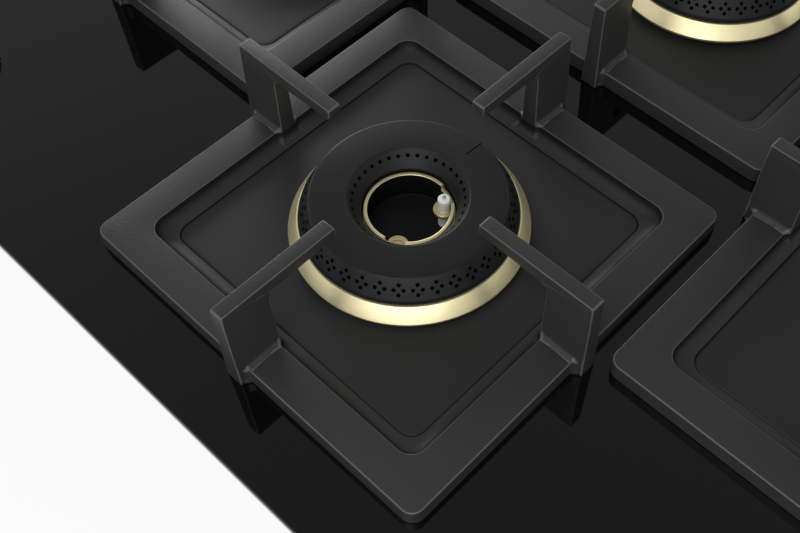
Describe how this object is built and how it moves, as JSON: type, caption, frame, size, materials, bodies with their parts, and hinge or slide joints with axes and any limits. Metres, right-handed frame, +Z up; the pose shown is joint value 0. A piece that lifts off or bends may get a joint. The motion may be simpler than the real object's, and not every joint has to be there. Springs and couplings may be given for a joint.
{
  "type": "gas cooktop",
  "caption": "Built-in gas cooktop: black glass top, double-ring burners in a diamond, lift-off square cast pan supports round enamelled trays, push-and-turn tap knobs.",
  "frame": {"origin": "middle of the underside of the base box, below the centre of the glass", "axes": "+X along the width to the cook's right, +Y to the back, +Z up"},
  "size_m": [0.76, 0.52, 0.1069],
  "materials": {
    "black_glass": "glossy, opaque",
    "seal_rubber": "matt",
    "zinc_sheet": "galvanised",
    "steel": "drawn",
    "brass": "brushed, pale",
    "plastic": "matt",
    "raw_casting": "dark satin casting",
    "black_cap": "satin black enamel",
    "ceramic": "glazed",
    "enamel": "matt dark grey enamel",
    "cast_iron": "matt enamelled casting",
    "aluminium": "drawn and cast",
    "knob_plastic": "satin black"
  },
  "bodies": {
    "hob": {"glass_top": "black_glass", "glass_seal": "seal_rubber", "base_box": "zinc_sheet", "gas_rail": "steel", "gas_inlet": "brass", "ignition_module": "plastic", "mains_gland": "plastic", "burner_cup_front": "raw_casting", "skirt_ring_front": "brass", "inner_ring_front": "brass", "spark_electrode_front": "ceramic", "thermocouple_front": "brass", "spill_tray_front": "enamel", "feed_pipe_front": "aluminium", "tap_body_front": "aluminium", "burner_cup_right": "raw_casting", "skirt_ring_right": "brass", "inner_ring_right": "brass", "spark_electrode_right": "ceramic", "thermocouple_right": "brass", "spill_tray_right": "enamel", "feed_pipe_right": "aluminium", "tap_body_right": "aluminium", "burner_cup_rear": "raw_casting", "skirt_ring_rear": "brass", "inner_ring_rear": "brass", "spark_electrode_rear": "ceramic", "thermocouple_rear": "brass", "spill_tray_rear": "enamel", "feed_pipe_rear": "aluminium", "tap_body_rear": "aluminium", "burner_cup_left": "raw_casting", "skirt_ring_left": "brass", "inner_ring_left": "brass", "spark_electrode_left": "ceramic", "thermocouple_left": "brass", "spill_tray_left": "enamel", "feed_pipe_left": "aluminium", "tap_body_left": "aluminium"},
    "crown_front": {"burner_crown_front": "black_cap"},
    "support_front": {"pan_support_front": "cast_iron"},
    "plug_front": {"tap_plug_front": "brass"},
    "knob_front": {"tap_stem_front": "steel", "knob_front": "knob_plastic"},
    "crown_right": {"burner_crown_right": "black_cap"},
    "support_right": {"pan_support_right": "cast_iron"},
    "plug_right": {"tap_plug_right": "brass"},
    "knob_right": {"tap_stem_right": "steel", "knob_right": "knob_plastic"},
    "crown_rear": {"burner_crown_rear": "black_cap"},
    "support_rear": {"pan_support_rear": "cast_iron"},
    "plug_rear": {"tap_plug_rear": "brass"},
    "knob_rear": {"tap_stem_rear": "steel", "knob_rear": "knob_plastic"},
    "crown_left": {"burner_crown_left": "black_cap"},
    "support_left": {"pan_support_left": "cast_iron"},
    "plug_left": {"tap_plug_left": "brass"},
    "knob_left": {"tap_stem_left": "steel", "knob_left": "knob_plastic"}
  },
  "joints": [
    {"name": "crown_lift_front", "type": "slide", "parent": "hob", "child": "crown_front", "axis": [0, 0, 1], "range_m": [0, 0.012]},
    {"name": "support_lift_front", "type": "slide", "parent": "hob", "child": "support_front", "axis": [0, 0, 1], "range_m": [0, 0.04]},
    {"name": "tap_turn_front", "type": "hinge", "parent": "hob", "child": "plug_front", "pos_m": [0.27, -0.2, 0.028], "axis": [0, 0, 1], "range_deg": [0, 210]},
    {"name": "knob_press_front", "type": "slide", "parent": "plug_front", "child": "knob_front", "axis": [0, 0, -1], "range_m": [0, 0.0035], "stiffness_N_per_m": 1500, "springref_m": -0.003},
    {"name": "crown_lift_right", "type": "slide", "parent": "hob", "child": "crown_right", "axis": [0, 0, 1], "range_m": [0, 0.012]},
    {"name": "support_lift_right", "type": "slide", "parent": "hob", "child": "support_right", "axis": [0, 0, 1], "range_m": [0, 0.04]},
    {"name": "tap_turn_right", "type": "hinge", "parent": "hob", "child": "plug_right", "pos_m": [0.326, -0.2, 0.028], "axis": [0, 0, 1], "range_deg": [0, 210]},
    {"name": "knob_press_right", "type": "slide", "parent": "plug_right", "child": "knob_right", "axis": [0, 0, -1], "range_m": [0, 0.0035], "stiffness_N_per_m": 1500, "springref_m": -0.003},
    {"name": "crown_lift_rear", "type": "slide", "parent": "hob", "child": "crown_rear", "axis": [0, 0, 1], "range_m": [0, 0.012]},
    {"name": "support_lift_rear", "type": "slide", "parent": "hob", "child": "support_rear", "axis": [0, 0, 1], "range_m": [0, 0.04]},
    {"name": "tap_turn_rear", "type": "hinge", "parent": "hob", "child": "plug_rear", "pos_m": [-0.27, -0.2, 0.028], "axis": [0, 0, 1], "range_deg": [0, 210]},
    {"name": "knob_press_rear", "type": "slide", "parent": "plug_rear", "child": "knob_rear", "axis": [0, 0, -1], "range_m": [0, 0.0035], "stiffness_N_per_m": 1500, "springref_m": -0.003},
    {"name": "crown_lift_left", "type": "slide", "parent": "hob", "child": "crown_left", "axis": [0, 0, 1], "range_m": [0, 0.012]},
    {"name": "support_lift_left", "type": "slide", "parent": "hob", "child": "support_left", "axis": [0, 0, 1], "range_m": [0, 0.04]},
    {"name": "tap_turn_left", "type": "hinge", "parent": "hob", "child": "plug_left", "pos_m": [-0.326, -0.2, 0.028], "axis": [0, 0, 1], "range_deg": [0, 210]},
    {"name": "knob_press_left", "type": "slide", "parent": "plug_left", "child": "knob_left", "axis": [0, 0, -1], "range_m": [0, 0.0035], "stiffness_N_per_m": 1500, "springref_m": -0.003}
  ]
}
